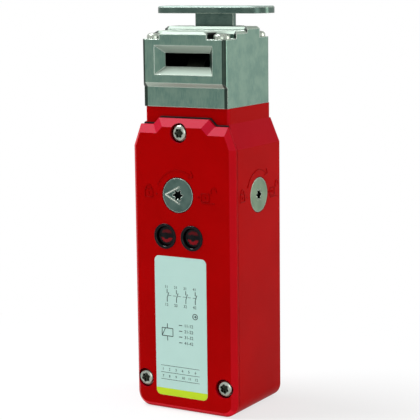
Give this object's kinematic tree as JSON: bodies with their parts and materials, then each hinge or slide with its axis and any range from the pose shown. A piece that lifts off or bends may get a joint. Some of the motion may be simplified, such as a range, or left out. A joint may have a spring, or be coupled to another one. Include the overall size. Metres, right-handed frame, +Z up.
{
  "type": "tongue interlock switch",
  "caption": "Guard-locking safety switch: a tongue plugs into a steel head and turns a cam wheel that drives a contact rod in a painted die-cast body.",
  "frame": {"origin": "middle of the body's footprint on its bottom face", "axes": "+Z up along the body towards the head, -Y out of the cover face, +X to the right seen from the cover"},
  "size_m": [0.0534, 0.0401, 0.17],
  "materials": {
    "red_paint": "satin",
    "cast_steel": "satin",
    "bright_steel": "bright",
    "zinc_steel": "satin",
    "spring_steel": "satin",
    "bronze": "satin",
    "copper": "satin",
    "rubber": "matte",
    "black_plastic": "matte",
    "gloss_black": "gloss",
    "grey_plastic": "matte",
    "board_green": "satin",
    "lamp_red": "gloss",
    "clear_lens": "clear",
    "label_film": "satin"
  },
  "bodies": {
    "switch_body": {"housing": "red_paint", "cover": "red_paint", "cover_gasket": "rubber", "cover_screws": "zinc_steel", "rating_label": "label_film", "head_casting": "cast_steel", "head_gasket": "rubber", "head_screws": "zinc_steel", "cam_pin": "zinc_steel", "cam_pin_keepers": "zinc_steel", "cam_washers": "spring_steel", "rod_bush": "bronze", "contact_block": "black_plastic", "terminal_strips": "bronze", "terminal_screws": "zinc_steel", "chassis": "grey_plastic", "chassis_screws": "zinc_steel", "wiring_block": "black_plastic", "solenoid_frame": "zinc_steel", "solenoid_bobbin": "black_plastic", "solenoid_coil": "copper", "led_bezels": "gloss_black", "led_lenses": "clear_lens", "leds": "lamp_red", "led_board": "board_green"},
    "tongue_body": {"tongue": "bright_steel"},
    "cam_body": {"cam_wheel": "zinc_steel"},
    "rod_body": {"drive_rod": "zinc_steel", "drive_spring": "spring_steel", "contact_carrier": "grey_plastic", "contact_bridges": "copper"},
    "armature_body": {"armature": "zinc_steel", "lock_spring": "spring_steel"},
    "slide_body": {"lock_slide": "zinc_steel"},
    "front_release_body": {"front_release": "bright_steel", "front_release_clip": "spring_steel", "front_release_seal": "rubber"},
    "side_release_body": {"side_release": "bright_steel", "side_release_clip": "spring_steel", "side_release_seal": "rubber"}
  },
  "joints": [
    {"name": "tongue_slide", "type": "slide", "parent": "switch_body", "child": "tongue_body", "axis": [0, 0, 1], "range_m": [0, 0.029]},
    {"name": "cam_turn", "type": "hinge", "parent": "switch_body", "child": "cam_body", "pos_m": [0, 0.001, 0.1404], "axis": [1, 0, 0], "range_deg": [0, 190]},
    {"name": "drive_rod_travel", "type": "slide", "parent": "switch_body", "child": "rod_body", "axis": [0, 0, -1], "range_m": [0, 0.0031], "deforming": ["drive_spring"]},
    {"name": "front_release_turn", "type": "hinge", "parent": "switch_body", "child": "front_release_body", "pos_m": [-0.0022, -0.015, 0.0927], "axis": [0, 1, 0], "range_deg": [0, 185]},
    {"name": "lock_travel", "type": "slide", "parent": "switch_body", "child": "slide_body", "axis": [-1, 0, 0], "range_m": [0, 0.0041]},
    {"name": "armature_travel", "type": "slide", "parent": "switch_body", "child": "armature_body", "axis": [0, 0, -1], "range_m": [0, 0.004], "deforming": ["lock_spring"]},
    {"name": "side_release_turn", "type": "hinge", "parent": "switch_body", "child": "side_release_body", "pos_m": [0.018, 0.0015, 0.0919], "axis": [1, 0, 0], "range_deg": [0, 180]}
  ],
  "couplings": [
    {"joint": "cam_turn", "follows": "tongue_slide", "rad_per_m": 112.36},
    {"joint": "drive_rod_travel", "follows": "tongue_slide", "ratio": 0.10345},
    {"joint": "lock_travel", "follows": "armature_travel", "ratio": 1},
    {"joint": "front_release_turn", "follows": "armature_travel", "rad_per_m": 785.4}
  ]
}
